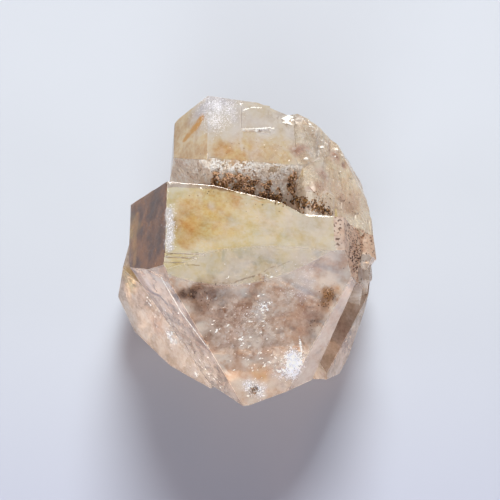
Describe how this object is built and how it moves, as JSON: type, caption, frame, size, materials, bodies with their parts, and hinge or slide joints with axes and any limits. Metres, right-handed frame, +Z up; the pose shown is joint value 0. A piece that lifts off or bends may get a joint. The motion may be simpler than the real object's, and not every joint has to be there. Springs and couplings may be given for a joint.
{
  "type": "quartz crystal",
  "caption": "Stubby quartz specimen of clear, iron-stained crystals grown together in parallel, lying on a side face, with iron oxide in a crevice; a thing to display or handle.",
  "frame": {"origin": "under the middle of the specimen's box, on the surface it rests on", "axes": "the crystals' c axis lies along Y, level, with the main tip towards -Y; +X is across, towards the rough flank; +Z is up from the resting face"},
  "size_m": [0.037, 0.0408, 0.0287],
  "materials": {
    "quartz": "clear to milky, glassy faces, rough at the back; stained golden, smoky brown and pinkish inside",
    "iron_oxide": "dull, earthy, dark brown to ochre grains"
  },
  "bodies": {
    "root": {"quartz_crystal": "quartz", "iron_oxide_crust": "iron_oxide"}
  },
  "joints": []
}
